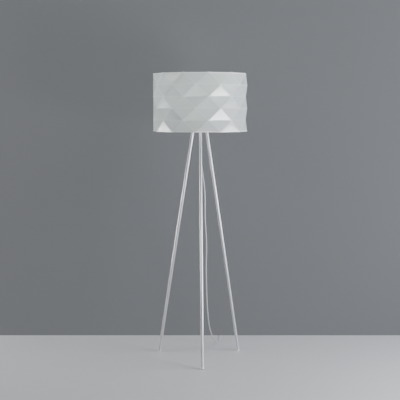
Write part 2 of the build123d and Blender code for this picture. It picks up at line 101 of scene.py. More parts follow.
CORD_D = 0.0055
CORD_ROUNDNESS = 5    # how finely the cord's section is rounded
CORD_FINENESS = 8     # steps along the cord from one point of its route to the next
HANGING_ROUTE = [
    (0, 0, 1.246),
    (0.0004, 0, 1.195),
    (0.003, 0.001, 1.13),
    (0.005, 0.002, 1.062),
    (0.012, 0.003, 0.993),
    (0.022, 0.004, 0.925),
    (0.028, 0.005, 0.855),
    (0.0265, 0.007, 0.783),
    (0.029, 0.009, 0.712),
    (0.0345, 0.012, 0.641),
    (0.036, 0.015, 0.569),
    (0.034, 0.019, 0.497),
    (0.035, 0.024, 0.425),
    (0.037, 0.031, 0.354),
    (0.04, 0.042, 0.284),
    (0.045, 0.061, 0.216),
    (0.053, 0.093, 0.153),
    (0.065, 0.139, 0.099),
    (0.084, 0.19, 0.051),
    (0.104, 0.246, 0.015),
    (0.12, 0.305, 0.00285),
    (0.13, 0.366, 0.00285),
    (0.1365, 0.425, 0.00285),
    (0.136, 0.473, 0.0034),
    (0.135, 0.51, 0.007),
    (0.135, 0.53, 0.007),
]
LEAD_ROUTE = [
    (0.135, 0.61, 0.007),
    (0.135, 0.63, 0.007),
    (0.1353, 0.651, 0.0062),
    (0.1349, 0.671, 0.0046),
    (0.135, 0.69, 0.0041),
]
TAIL_ROUTE = [
    (0.0745, 0.69, 0.0237),
    (0.0742, 0.67, 0.0212),
    (0.0732, 0.652, 0.0145),
    (0.0725, 0.636, 0.0084),
    (0.0725, 0.62, 0.00685),
    (0.0725, 0.6045, 0.00685),
]
COIL_TURNS = 3.5
POINTS_PER_TURN = 16


def coil_route():
    """The turns of the put-away coil, from the end of the lead to the start of the tail."""
    low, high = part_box("cord_coil")
    middle = (low + high) / 2
    steps = round(COIL_TURNS * POINTS_PER_TURN)
    first, last = LEAD_ROUTE[-1], TAIL_ROUTE[0]
    radius = (first[0] - last[0]) / 2 / math.cos(math.pi / POINTS_PER_TURN)
    route = []
    for k in range(1, steps):
        turn = 2 * math.pi * k / POINTS_PER_TURN
        z = first[2] + (last[2] - first[2]) * k / steps
        route.append((middle.x + radius * math.cos(turn), middle.y + radius * math.sin(turn), z))
    return route


def cord_curve(name, route):
    """A cord on the smooth line of its route, closed at both ends."""
    curve = bpy.data.curves.new(name, "CURVE")
    curve.dimensions = "3D"
    curve.bevel_depth = 1    # thinned to the cord's radius at each point, so its box is the cord's
    curve.bevel_resolution = CORD_ROUNDNESS
    curve.resolution_u = CORD_FINENESS
    curve.use_fill_caps = True
    spline = curve.splines.new("NURBS")
    spline.points.add(len(route) - 1)
    for point, place in zip(spline.points, route):
        point.co = (*place, 1)
        point.radius = CORD_D / 2
    spline.order_u = 3
    spline.use_endpoint_u = True
    cord = new_object(name, curve)
    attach(cord, "stand")
    return cord


hanging = cord_curve("hanging_cord", HANGING_ROUTE)
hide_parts("cord_hanging")
put_away = cord_curve("put_away_cord", LEAD_ROUTE + coil_route() + TAIL_ROUTE)
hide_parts("cord_lead", "cord_coil", "cord_tail")

# ---------------------------------------------------------------- building node trees

FLOAT, INT, VECTOR = "NodeSocketFloat", "NodeSocketInt", "NodeSocketVector"
GEOMETRY, MATERIAL = "NodeSocketGeometry", "NodeSocketMaterial"


class Graph:
    """A node tree to which nodes are added with their inputs given by name or by number."""

    def __init__(self, tree):
        self.tree = tree

    def add(self, kind, inputs=None, **settings):
        node = self.tree.nodes.new(kind)
        for key, value in settings.items():
            setattr(node, key, value)
        for key, value in (inputs or {}).items():
            socket = node.inputs[key]
            if isinstance(value, bpy.types.NodeSocket):
                self.tree.links.new(value, socket)
            else:
                socket.default_value = value
        return node

    def link(self, source, target):
        self.tree.links.new(source, target)

    def math(self, operation, *values):
        node = self.add("ShaderNodeMath", dict(enumerate(values)), operation=operation)
        return node.outputs[0]

    def remap(self, value, source=(0.0, 1.0), target=(0.0, 1.0), **settings):
        """The value carried from one range to another, and held at its ends."""
        ends = {
            "From Min": source[0], "From Max": source[1],
            "To Min": target[0], "To Max": target[1],
        }
        return self.add("ShaderNodeMapRange", {"Value": value, **ends}, **settings).outputs[0]

    def place(self):
        """Where a point lies on its piece, in metres."""
        return self.add("ShaderNodeTexCoord").outputs["Object"]

    def noise(self, place, scale, detail):
        inputs = {"Vector": place, "Scale": scale, "Detail": detail}
        return self.add("ShaderNodeTexNoise", inputs).outputs[0]

    def mixed_shader(self, share, first, second):
        return self.add("ShaderNodeMixShader", {0: share, 1: first, 2: second}).outputs[0]

    def show(self, shader, output="Material Output"):
        self.link(shader, self.tree.nodes[output].inputs["Surface"])


def new_group(kind, name, inputs, outputs):
    """An empty node group with named sockets; inputs are (name, socket type, default)."""
    tree = bpy.data.node_groups.new(name, kind)
    for socket_name, socket_kind, default in inputs:
        socket = tree.interface.new_socket(socket_name, in_out="INPUT", socket_type=socket_kind)
        if default is not None:
            socket.default_value = default
    for socket_name, socket_kind in outputs:
        tree.interface.new_socket(socket_name, in_out="OUTPUT", socket_type=socket_kind)
    graph = Graph(tree)
    return graph, graph.add("NodeGroupInput").outputs, graph.add("NodeGroupOutput").inputs


# ---------------------------------------------------------------- shared surface effects

PATCH_EDGE = (0.38, 0.68)     # the part of the noise over which a handled patch fades in
SPECKS_PER_METRE = 160.0


def new_effect(name, sizes, output):
    """A surface effect: its sizes are named inputs, and it puts out one value."""
    inputs = [(size, FLOAT, value) for size, value in sizes.items()]
    return new_group("ShaderNodeTree", name, inputs, [(output, FLOAT)])


def handling_marks():
    """Soft uneven patches where a surface has been wiped and handled, as a mask."""
    graph, given, out = new_effect("handling_marks", {"Scale": 12.0}, "Mask")
    broad = graph.noise(graph.place(), given["Scale"], 5.0)
    graph.link(graph.remap(broad, PATCH_EDGE), out["Mask"])
    return graph.tree


def drawn_grain():
    """Fine lines along the height of a drawn or brushed tube, as a height."""
    graph, given, out = new_effect("drawn_grain", {"Across": 900.0, "Along": 6.0}, "Height")
    stretch = graph.add(
        "ShaderNodeCombineXYZ", {0: given["Across"], 1: given["Across"], 2: given["Along"]}
    )
    lines = graph.add(
        "ShaderNodeVectorMath", {0: graph.place(), 1: stretch.outputs[0]}, operation="MULTIPLY"
    )
    graph.link(graph.noise(lines.outputs[0], 1.0, 3.0), out["Height"])
    return graph.tree


def moulded_skin():
    """The fine spark-eroded skin of a moulded plastic, as a height."""
    graph, given, out = new_effect("moulded_skin", {"Scale": 1800.0}, "Height")
    place = graph.place()
    fine = graph.noise(place, given["Scale"], 2.0)
    cells = graph.add("ShaderNodeTexVoronoi", {"Vector": place, "Scale": given["Scale"]})
    both = graph.math("MULTIPLY_ADD", cells.outputs["Distance"], 0.5, fine)
    graph.link(both, out["Height"])
    return graph.tree


def floor_dust():
    """Dust that settles near the floor: strongest at the bottom, gone at its reach."""
    graph, given, out = new_effect("floor_dust", {"Reach": 0.12}, "Mask")
    place = graph.place()
    height = graph.add("ShaderNodeSeparateXYZ", {0: place}).outputs["Z"]
    fade = graph.remap(height, (0.0, given["Reach"]), (1.0, 0.0))
    specks = graph.noise(place, SPECKS_PER_METRE, 6.0)
    graph.link(graph.math("MULTIPLY", fade, specks), out["Mask"])
    return graph.tree


MARKS, GRAIN, SKIN, DUST = handling_marks(), drawn_grain(), moulded_skin(), floor_dust()


def new_material(name, roughness, metallic=0.0):
    material = bpy.data.materials.new(name)
    material.use_nodes = True
    graph = Graph(material.node_tree)
    shader = material.node_tree.nodes["Principled BSDF"]
    shader.inputs["Roughness"].default_value = roughness
    shader.inputs["Metallic"].default_value = metallic
    return material, graph, shader


def use(graph, effect, **sizes):
    """An effect placed in a material with its own sizes."""
    node = graph.add("ShaderNodeGroup", node_tree=effect)
    for size, value in sizes.items():
        node.inputs[size].default_value = value
    return node.outputs[0]


def between(graph, mask, *colours):
    """A colour that goes from the first to the second with the mask; each may be a socket."""
    first, second = (
        colour if isinstance(colour, bpy.types.NodeSocket) else (*colour, 1) for colour in colours
    )
    mix = graph.add("ShaderNodeMix", {0: mask, 6: first, 7: second}, data_type="RGBA")
    return mix.outputs[2]


def bump(graph, shader, height, depth, strength=1.0):
    node = graph.add("ShaderNodeBump", {"Height": height, "Distance": depth, "Strength": strength})
    graph.link(node.outputs[0], shader.inputs["Normal"])


# ---------------------------------------------------------------- finishes

METAL_PATCHES, PLASTIC_PATCHES = 9.0, 22.0    # handled patches, to a metre
SHEET_PATCHES, DOME_PATCHES = 14.0, 30.0
HANDLED_METAL = 0.9           # how much of its colour the metal keeps where it is handled
HANDLED_PLASTIC = 0.93
METAL_DULLING = 0.09          # roughness added by handling
PLASTIC_SHINE = 0.04          # roughness taken off by handling, at one end of the patches
PLASTIC_DULLING = 0.07
DUST_ON_METAL, DUST_ON_PLASTIC = 0.25, 0.35
DUST_REACH_METAL, DUST_REACH_PLASTIC = 0.09, 0.03
DUST_COLOUR = (0.55, 0.53, 0.5)

SHEET_GREENISH = (0.545, 0.585, 0.545)
SHEET_BLUISH = (0.555, 0.565, 0.605)
# The colour of the folds: stress whitening of the folded plastic, together with a painted highlight
# along each crease.
SHEET_WHITENED_AND_HIGHLIT = (0.86, 0.87, 0.88)
SHEET_THROUGH = (0.93, 0.95, 0.93, 1)
FOLD_WHITENING_AND_HIGHLIGHT = 0.0016       # how far from a fold its whitening and painted highlight reach

BULB_BRIGHTNESS = 3.0


def drawn_metal(name, colour, roughness, across=900.0, along=6.0, depth=0.00002, dust=False):
    """A plated tube or turned part: brushed along its length, a little duller where handled."""
    material, graph, shader = new_material(name, roughness, metallic=1.0)
    marks = use(graph, MARKS, Scale=METAL_PATCHES)
    tint = between(graph, marks, colour, [c * HANDLED_METAL for c in colour])
    rough = graph.remap(marks, target=(roughness, roughness + METAL_DULLING))
    if dust:
        near_floor = use(graph, DUST, Reach=DUST_REACH_METAL)
        rough = graph.math("MULTIPLY_ADD", near_floor, DUST_ON_METAL, rough)
    graph.link(tint, shader.inputs["Base Color"])
    graph.link(rough, shader.inputs["Roughness"])
    bump(graph, shader, use(graph, GRAIN, Across=across, Along=along), depth)
    return material


def moulded(name, colour, roughness, skin=1800.0, depth=0.00003, dust=False):
    """A moulded plastic: even colour with faint clouding and a fine skin."""
    material, graph, shader = new_material(name, roughness)
    marks = use(graph, MARKS, Scale=PLASTIC_PATCHES)
    tint = between(graph, marks, colour, [c * HANDLED_PLASTIC for c in colour])
    if dust:
        near_floor = use(graph, DUST, Reach=DUST_REACH_PLASTIC)
        soft = graph.math("MULTIPLY", near_floor, DUST_ON_PLASTIC)
        tint = between(graph, soft, tint, DUST_COLOUR)
    rough = graph.remap(marks, target=(roughness - PLASTIC_SHINE, roughness + PLASTIC_DULLING))
    graph.link(tint, shader.inputs["Base Color"])
    graph.link(rough, shader.inputs["Roughness"])
    bump(graph, shader, use(graph, SKIN, Scale=skin), depth)
    return material


def translucent_sheet(name, through_share):
    """Translucent satin sheet: faint clouding, and whiter along the folds: stress whitening with a
    painted highlight.
    """
    material, graph, shader = new_material(name, 0.22)
    place = graph.place()
    cloud = graph.remap(graph.noise(place, 4.2, 1.0), (0.35, 0.65))
    sheet = between(graph, cloud, SHEET_GREENISH, SHEET_BLUISH)
    distance = graph.add("ShaderNodeAttribute", attribute_name="fold_distance").outputs["Fac"]
    # Near a fold the sheet goes whiter: stress whitening together with a painted highlight along
    # the crease.
    fold = graph.remap(distance, (0.0, FOLD_WHITENING_AND_HIGHLIGHT), (1.0, 0.0))
    graph.link(between(graph, fold, sheet, SHEET_WHITENED_AND_HIGHLIT), shader.inputs["Base Color"])
    marks = use(graph, MARKS, Scale=SHEET_PATCHES)
    graph.link(graph.remap(marks, target=(0.18, 0.26)), shader.inputs["Roughness"])
    shader.inputs["Specular IOR Level"].default_value = 1.0
    bump(graph, shader, graph.noise(place, 260.0, 3.0), 0.00005, 0.6)
    through = graph.add("ShaderNodeBsdfTranslucent", {"Color": SHEET_THROUGH})
    graph.show(graph.mixed_shader(through_share, shader.outputs[0], through.outputs[0]))
    return material


def opal_dome():
    """The bulb's opal dome, dimly lit."""
    material, graph, shader = new_material("opal_dome", 0.35)
    marks = use(graph, MARKS, Scale=DOME_PATCHES)
    skin = between(graph, marks, (0.93, 0.93, 0.9), (0.89, 0.89, 0.86))
    light = between(graph, marks, (1.0, 0.94, 0.82), (1.0, 0.9, 0.76))
    graph.link(skin, shader.inputs["Base Color"])
    graph.link(light, shader.inputs["Emission Color"])
    shader.inputs["Emission Strength"].default_value = BULB_BRIGHTNESS
    bump(graph, shader, use(graph, SKIN, Scale=900.0), 0.00002)
    return material


def woven_tie():
    """Hook-and-loop tie: a short fuzzy pile in rows."""
    material, graph, shader = new_material("woven_tie", 0.85)
    place = graph.place()
    wave = {"Vector": place, "Scale": 380.0, "Distortion": 3.0}
    rows = graph.add("ShaderNodeTexWave", wave, bands_direction="X").outputs["Fac"]
    pile = graph.noise(place, 1500.0, 2.0)
    tint = between(graph, rows, (0.03, 0.03, 0.035), (0.07, 0.07, 0.075))
    graph.link(tint, shader.inputs["Base Color"])
    bump(graph, shader, graph.math("ADD", rows, pile), 0.0002)
    return material


SATIN_NICKEL = (0.77, 0.775, 0.80)
CAST_METAL = (0.72, 0.72, 0.73)
BRIGHT_METAL = (0.95, 0.95, 0.96)
HOUSING_GREY = (0.72, 0.72, 0.73)
CORD_GREY = (0.60, 0.60, 0.62)
TRIM_WHITE = (0.97, 0.98, 0.98)

FINISHES = {
    "leg_nickel": drawn_metal("leg_nickel", SATIN_NICKEL, 0.38, dust=True),
    "hub_casting": drawn_metal("hub_casting", CAST_METAL, 0.38, across=300.0, along=300.0),
    "foot_metal": drawn_metal(
        "foot_metal", BRIGHT_METAL, 0.3, across=700.0, along=60.0, dust=True
    ),
    "zinc": drawn_metal("zinc", (0.74, 0.75, 0.78), 0.32, across=400.0, along=400.0),
    "brass": drawn_metal("brass", (0.82, 0.63, 0.30), 0.28, across=500.0, along=500.0),
    "bulb_nickel": drawn_metal(
        "bulb_nickel", (0.78, 0.77, 0.74), 0.22, across=90.0, along=900.0
    ),
    "pin_metal": drawn_metal("pin_metal", (0.80, 0.79, 0.76), 0.18, across=400.0, along=400.0),
    "holder_plastic": moulded("holder_plastic", (0.84, 0.84, 0.82), 0.34),
    "ceramic": moulded("ceramic", (0.90, 0.89, 0.86), 0.20, skin=500.0, depth=0.00002),
    "live_sleeve": moulded("live_sleeve", (0.22, 0.10, 0.05), 0.45),
    "neutral_sleeve": moulded("neutral_sleeve", (0.05, 0.12, 0.42), 0.45),
    "cord_pvc": moulded("cord_pvc", CORD_GREY, 0.38, skin=700.0, depth=0.00004, dust=True),
    "switch_plastic": moulded(
        "switch_plastic", HOUSING_GREY, 0.48, skin=1400.0, depth=0.00006, dust=True
    ),
    "plug_plastic": moulded(
        "plug_plastic", HOUSING_GREY, 0.46, skin=1400.0, depth=0.00006, dust=True
    ),
    "sleeve_plastic": moulded("sleeve_plastic", (0.76, 0.76, 0.76), 0.42),
    "shade_sheet": translucent_sheet("shade_sheet", 0.4),
    # The seam strip carries no fold_distance, so it takes the whitened, painted-highlight colour of
    # the folds all over.
    "seam_strip": translucent_sheet("seam_strip", 0.88),
    "shade_trim": moulded("shade_trim", TRIM_WHITE, 0.24, skin=400.0, depth=0.00002),
    "frame_wire": moulded("frame_wire", (0.86, 0.86, 0.85), 0.36, skin=900.0, depth=0.00004),
    "bulb_black": moulded("bulb_black", (0.02, 0.02, 0.02), 0.15),
    "bulb_white": moulded("bulb_white", (0.88, 0.88, 0.87), 0.34),
    "bulb_opal": opal_dome(),
    "led_board_metal": moulded("led_board_mask", (0.86, 0.87, 0.86), 0.40, skin=2600.0),
    "led_yellow": moulded("led_phosphor", (0.88, 0.72, 0.18), 0.50),
    "driver_green": moulded("driver_mask", (0.03, 0.20, 0.07), 0.38, skin=2600.0),
    "tie_plastic": woven_tie(),
}
SLOT_OF = {part["node"]: part["material_slot"] for part in frame["record"]["subparts"]}
SPECIAL = {"leg_hub": "hub_casting"}    # a node whose finish isn't the one of its slot


def finish_nodes():
    """Every carried-over CAD node gets the finish of its slot."""
    for name, node in nodes.items():
        finish = FINISHES[SPECIAL.get(name, SLOT_OF[name])]
        node.data.materials.clear()
        node.data.materials.append(finish)


finish_nodes()
for cord in (hanging, put_away):
    cord.data.materials.append(FINISHES["cord_pvc"])

# ---------------------------------------------------------------- finished pieces


def piece_from(mesh, name, body, slot, finish=None):
    """A finished piece: its own mesh at the origin, riding on a body."""
    mesh.name = name
    piece = new_object(name, mesh)
    mesh.materials.clear()
    mesh.materials.append(FINISHES[finish or slot])
    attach(piece, body)
    return piece


def smooth(piece, angle=40):
    """Rounded shading, with edges sharper than the angle in degrees left crisp."""
    for face in piece.data.polygons:
        face.use_smooth = True
    piece.data.set_sharp_from_angle(angle=math.radians(angle))
    return piece


def baked(source):
    """The plain mesh that an object's modifiers make; the object itself is removed."""
    bpy.context.view_layer.update()
    graph = bpy.context.evaluated_depsgraph_get()
    mesh = bpy.data.meshes.new_from_object(source.evaluated_get(graph), depsgraph=graph)
    bpy.data.objects.remove(source)
    return mesh


def grown(tree, **values):
    """The plain mesh that a geometry node tree makes from its named inputs."""
    holder = new_object("holder", bpy.data.meshes.new("holder"))
    modifier = holder.modifiers.new("tree", "NODES")
    modifier.node_group = tree
    sockets = {s.name: s.identifier for s in tree.interface.items_tree if s.in_out == "INPUT"}
    for name, value in values.items():
        modifier[sockets[name.replace("_", " ")]] = value
    return baked(holder)


def grown_piece(tree, name, body, slot, **values):
    """A small piece that a tree makes, in the finish of its slot."""
    mesh = grown(tree, Finish=FINISHES[slot], **values)
    return smooth(piece_from(mesh, name, body, slot))


def new_maker(name, inputs):
    """A geometry node tree with named sizes and a finish, which puts out one shape."""
    inputs = inputs + [("Finish", MATERIAL, None)]
    return new_group("GeometryNodeTree", name, inputs, [("Geometry", GEOMETRY)])


def ending(graph, shape, given, out):
    """Every tree ends alike: instances made real, and its material set."""
    real = graph.add("GeometryNodeRealizeInstances", {0: shape.outputs[0]})
    done = graph.add(
        "GeometryNodeSetMaterial", {"Geometry": real.outputs[0], "Material": given["Finish"]}
    )
    graph.link(done.outputs[0], out["Geometry"])
    return graph.tree


def ring_of(graph, radius, sides):
    return graph.add("GeometryNodeCurvePrimitiveCircle", {"Resolution": sides, "Radius": radius})


def swept(graph, path, section, capped=False):
    """A section carried along a path."""
    ends = {"Curve": path.outputs[0], "Profile Curve": section.outputs[0], "Fill Caps": capped}
    return graph.add("GeometryNodeCurveToMesh", ends)


def moved(graph, shape, offset, **more):
    inputs = {"Geometry": shape.outputs[0], "Translation": offset, **more}
    return graph.add("GeometryNodeTransform", inputs)


# ---------------------------------------------------------------- folded shade

SHADE_R = 0.245
SHADE_TURN = math.radians(7.4)
CROWN_REACH = 0.028                 # from a fold to where a facet stands proudest
SHEET = 0.001                       # how thick the sheet is
FOLD_RADIUS = 0.0009
FOLD_STEPS = 2
FOLD_FROM = math.radians(7)         # edges that turn more than this are folds
FOLD_SHARP, SEAM_SHARP = 24, 40     # degrees
RIM_TRIM = 0.0056                   # how far the rim trims reach over the sheet
SEAM_HALF = 0.007
SEAM_STEPS = 96
SEAM_START = 0.02                   # it is laid outside the folds, then pressed in
SEAM_GLUE = 0.0001
SEAM_SHEET = 0.0005


def folded_sheet_tree():
    """Rows of leaning triangles: each second ring of corners stands half a side further round."""
    graph, given, out = new_maker(
        "folded_sheet",
        [
            ("Radius", FLOAT, 0.245),
            ("Height", FLOAT, 0.298),
            ("Middle", FLOAT, 1.351),
            ("Sides", INT, 12),
            ("Rows", INT, 5),
            ("Turn", FLOAT, 0.0),
            ("Bulge", FLOAT, 0.0005),
            ("Detail", INT, 3),
        ],
    )
    drum = graph.add(
        "GeometryNodeMeshCylinder",
        {
            "Vertices": given["Sides"],
            "Side Segments": given["Rows"],
            "Radius": given["Radius"],
            "Depth": given["Height"],
        },
        fill_type="NONE",
    )
    place = graph.add("GeometryNodeInputPosition").outputs[0]
    z = graph.add("ShaderNodeSeparateXYZ", {0: place}).outputs["Z"]
    from_top = graph.math("SUBTRACT", graph.math("DIVIDE", given["Height"], 2.0), z)
    row_height = graph.math("DIVIDE", given["Height"], given["Rows"])
    line = graph.math("ROUND", graph.math("DIVIDE", from_top, row_height))
    odd = graph.math("MODULO", line, 2.0)
    half_side = graph.math("DIVIDE", math.pi, given["Sides"])
    turn = graph.math("MULTIPLY_ADD", odd, half_side, given["Turn"])
    turned = graph.add(
        "ShaderNodeVectorRotate", {"Vector": place, "Angle": turn}, rotation_type="Z_AXIS"
    )
    corners = graph.add(
        "GeometryNodeSetPosition", {"Geometry": drum.outputs["Mesh"], "Position": turned.outputs[0]}
    )
    folds = graph.add(
        "GeometryNodeTriangulate", {"Mesh": corners.outputs[0]}, quad_method="SHORTEST_DIAGONAL"
    )
    fine = graph.add(
        "GeometryNodeSubdivideMesh", {"Mesh": folds.outputs[0], "Level": given["Detail"]}
    )
    near = graph.add("GeometryNodeProximity", {0: folds.outputs[0]}, target_element="EDGES")
    distance = near.outputs["Distance"]
    marked = graph.add(
        "GeometryNodeStoreNamedAttribute",
        {"Geometry": fine.outputs[0], "Name": "fold_distance", "Value": distance},
        data_type="FLOAT",
        domain="POINT",
    )
    crown = graph.remap(distance, (0.0, CROWN_REACH), interpolation_type="SMOOTHSTEP")
    swell = graph.math("MULTIPLY", crown, given["Bulge"])
    normal = graph.add("GeometryNodeInputNormal").outputs[0]
    push = graph.add("ShaderNodeVectorMath", {0: normal, "Scale": swell}, operation="SCALE")
    bowed = graph.add(
        "GeometryNodeSetPosition", {"Geometry": marked.outputs[0], "Offset": push.outputs[0]}
    )
    lift = graph.add("ShaderNodeCombineXYZ", {"Z": given["Middle"]})
    return ending(graph, moved(graph, bowed, lift.outputs[0]), given, out)


def thickened(source, name, thickness, offset):
    """The sheet gets its wall: offset 1 grows it outwards, -1 inwards."""
    thick = source.modifiers.new(name, "SOLIDIFY")
    thick.thickness = thickness
    thick.offset = offset
    return baked(source)


def make_shade():
    low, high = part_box("shade_skin")
    mesh = grown(
        folded_sheet_tree(),
        Radius=SHADE_R,
        Height=high.z - low.z,
        Middle=(low.z + high.z) / 2,
        Turn=SHADE_TURN,
        Finish=FINISHES["shade_sheet"],
    )
    source = new_object("sheet", mesh)
    softened = source.modifiers.new("soft_folds", "BEVEL")
    softened.width = FOLD_RADIUS
    softened.segments = FOLD_STEPS
    softened.limit_method = "ANGLE"
    softened.angle_limit = FOLD_FROM
    softened.use_clamp_overlap = True
    mesh = thickened(source, "sheet_thickness", SHEET, -1)
    shade = smooth(piece_from(mesh, "folded_shade", "shade", "shade_sheet"), FOLD_SHARP)
    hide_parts("shade_skin")
    return shade


def make_seam(shade):
    """The sheet's glued overlap: a strip down the back, pressed onto the folds."""
    low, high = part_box("shade_skin")
    corners, faces = [], []
    for k in range(SEAM_STEPS + 1):
        z = low.z + RIM_TRIM + (high.z - low.z - 2 * RIM_TRIM) * k / SEAM_STEPS
        corners += [(x, SHADE_R + SEAM_START, z) for x in (SEAM_HALF, 0, -SEAM_HALF)]
    for k in range(SEAM_STEPS):
        faces += [(a, a + 1, a + 4, a + 3) for a in (3 * k, 3 * k + 1)]
    mesh = bpy.data.meshes.new("strip")
    mesh.from_pydata(corners, [], faces)
    strip = new_object("strip", mesh)
    press = strip.modifiers.new("pressed_on", "SHRINKWRAP")
    press.target = shade
    press.wrap_method = "PROJECT"
    press.use_project_y = True
    press.use_negative_direction = True
    press.use_positive_direction = False
    press.offset = SEAM_GLUE
    mesh = thickened(strip, "strip_thickness", SEAM_SHEET, 1)
    smooth(piece_from(mesh, "shade_seam", "shade", "shade_sheet", "seam_strip"), SEAM_SHARP)


make_seam(make_shade())

# ---------------------------------------------------------------- threads, rings and grips

WIRE_SIDES = 8          # sides of a ridge's or a ring's round section
TURN_STEPS = 48
HOOP_SIDES = 40
BAR_SIDES = 12
UPRIGHT = (math.pi / 2, 0, 0)    # what lies flat is stood up, facing along Y


def helical_ridge_tree():
    """A round ridge or wire wound up a sleeve: a screw thread, or a spring."""
    graph, given, out = new_maker(
        "helical_ridge",
        [
            ("Radius", FLOAT, 0.02),
            ("Ridge", FLOAT, 0.0005),
            ("Lead", FLOAT, 0.0025),
            ("Foot", VECTOR, None),
            ("Rise", FLOAT, 0.02),
        ],
    )
    turns = graph.math("DIVIDE", given["Rise"], given["Lead"])
    wind = graph.add(
        "GeometryNodeCurveSpiral",
        {
            "Resolution": TURN_STEPS,
            "Rotations": turns,
            "Start Radius": given["Radius"],
            "End Radius": given["Radius"],
            "Height": given["Rise"],
        },
    )
    ridge = swept(graph, wind, ring_of(graph, given["Ridge"], WIRE_SIDES), capped=True)
    return ending(graph, moved(graph, ridge, given["Foot"]), given, out)


def taper_rings_tree():
    """Rings round a tapered strain relief, thinner towards its tip, lying along Y."""
    graph, given, out = new_maker(
        "taper_rings",
        [
            ("Root", VECTOR, None),
            ("Tip", VECTOR, None),
            ("Root radius", FLOAT, 0.0048),
            ("Tip radius", FLOAT, 0.0035),
            ("Rings", INT, 7),
            ("Ring", FLOAT, 0.0006),
        ],
    )
    line = graph.add(
        "GeometryNodeCurvePrimitiveLine", {"Start": given["Root"], "End": given["Tip"]}
    )
    stations = graph.add(
        "GeometryNodeCurveToPoints", {"Curve": line.outputs[0], "Count": given["Rings"]}
    )
    number = graph.add("GeometryNodeInputIndex").outputs[0]
    along = graph.math("DIVIDE", number, graph.math("SUBTRACT", given["Rings"], 1.0))
    hoops = graph.add(
        "GeometryNodeInstanceOnPoints",
        {
            "Points": stations.outputs[0],
            "Instance": ring_of(graph, 1.0, HOOP_SIDES).outputs[0],
            "Rotation": UPRIGHT,
            "Scale": graph.remap(along, target=(given["Root radius"], given["Tip radius"])),
        },
    )
    real = graph.add("GeometryNodeRealizeInstances", {0: hoops.outputs[0]})
    rings = swept(graph, real, ring_of(graph, given["Ring"], WIRE_SIDES))
    return ending(graph, rings, given, out)


def button_dots_tree():
    """Low domes in two rings and one in the middle, so that a toe finds the button."""
    graph, given, out = new_maker(
        "button_dots",
        [
            ("Middle", VECTOR, None),
            ("Spacing", FLOAT, 0.003),
            ("Dot", FLOAT, 0.0008),
        ],
    )
    spots = graph.add("GeometryNodeJoinGeometry")
    outer = graph.math("MULTIPLY", given["Spacing"], 2.0)
    for count, reach in ((12, outer), (6, given["Spacing"])):
        ring = graph.add("GeometryNodeMeshCircle", {"Vertices": count, "Radius": reach})
        graph.link(ring.outputs[0], spots.inputs[0])
    centre = graph.add("GeometryNodeMeshLine", {"Count": 1})
    graph.link(centre.outputs[0], spots.inputs[0])
    dome = graph.add(
        "GeometryNodeMeshUVSphere", {"Segments": 16, "Rings": 8, "Radius": given["Dot"]}
    )
    domes = graph.add(
        "GeometryNodeInstanceOnPoints",
        {
            "Points": moved(graph, spots, given["Middle"]).outputs[0],
            "Instance": dome.outputs[0],
            "Scale": (1, 1, 0.5),
        },
    )
    return ending(graph, domes, given, out)


def grip_bars_tree():
    """Upright rounded bars in a row on the two flanks of the plug."""
    graph, given, out = new_maker(
        "grip_bars",
        [
            ("First", VECTOR, None),
            ("Width", FLOAT, 0.026),
            ("Step", FLOAT, 0.003),
            ("Bars", INT, 6),
            ("Tall", FLOAT, 0.007),
            ("Bar", FLOAT, 0.0007),
        ],
    )
    offset = graph.add("ShaderNodeCombineXYZ", {"Y": given["Step"]})
    row = graph.add(
        "GeometryNodeMeshLine",
        {"Count": given["Bars"], "Start Location": given["First"], "Offset": offset.outputs[0]},
    )
    across = graph.add("ShaderNodeCombineXYZ", {"X": given["Width"]})
    both = graph.add("GeometryNodeJoinGeometry")
    for flank in (row, moved(graph, row, across.outputs[0])):
        graph.link(flank.outputs[0], both.inputs[0])
    top = graph.add("ShaderNodeCombineXYZ", {"Z": given["Tall"]})
    stem = graph.add(
        "GeometryNodeCurvePrimitiveLine", {"Start": (0, 0, 0), "End": top.outputs[0]}
    )
    bar = swept(graph, stem, ring_of(graph, given["Bar"], BAR_SIDES), capped=True)
    bars = graph.add(
        "GeometryNodeInstanceOnPoints", {"Points": both.outputs[0], "Instance": bar.outputs[0]}
    )
    return ending(graph, bars, given, out)


def strap_tree():
    """A closed strap with rounded corners, standing across Y and Z, its width along X."""
    graph, given, out = new_maker(
        "strap",
        [
            ("Middle", VECTOR, None),
            ("Deep", FLOAT, 0.007),
            ("Tall", FLOAT, 0.026),
            ("Wide", FLOAT, 0.008),
            ("Thick", FLOAT, 0.001),
            ("Corner", FLOAT, 0.003),
        ],
    )
    loop = graph.add(
        "GeometryNodeCurvePrimitiveQuadrilateral", {"Width": given["Deep"], "Height": given["Tall"]}
    )
    rounded = graph.add(
        "GeometryNodeFilletCurve",
        {"Curve": loop.outputs[0], "Radius": given["Corner"], "Count": 6},
        mode="POLY",
    )
    even = graph.add("GeometryNodeSetCurveNormal", {"Curve": rounded.outputs[0]}, mode="Z_UP")
    section = graph.add(
        "GeometryNodeCurvePrimitiveQuadrilateral",
        {"Width": given["Thick"], "Height": given["Wide"]},
    )
    strap = swept(graph, even, section)
    stood = moved(graph, strap, given["Middle"], Rotation=(math.pi / 2, 0, math.pi / 2))
    return ending(graph, stood, given, out)


BULB_LEAD = 0.00363
BULB_RIDGE = 0.00045
BULB_THREAD_SUNK = 0.0002       # how deep its ridge lies in the cap
BULB_THREAD_FOOT = 0.0028       # plain sleeve below the thread, and with that above it
BULB_THREAD_PLAIN = 0.0048
HOLDER_THREAD_R = 0.0197
HOLDER_LEAD = 0.0026
HOLDER_RIDGE = 0.0006
HOLDER_THREAD_FOOT = 0.0022
HOLDER_THREAD_PLAIN = 0.004
SPRING_WIRE = 0.0004
SPRING_TURNS = 4
RELIEF_ROOT, RELIEF_TIP = 0.0188, 0.0012    # how far the first and last ring are from the tip
STRAP = 0.001

added_to_switch, added_to_plug = [], []


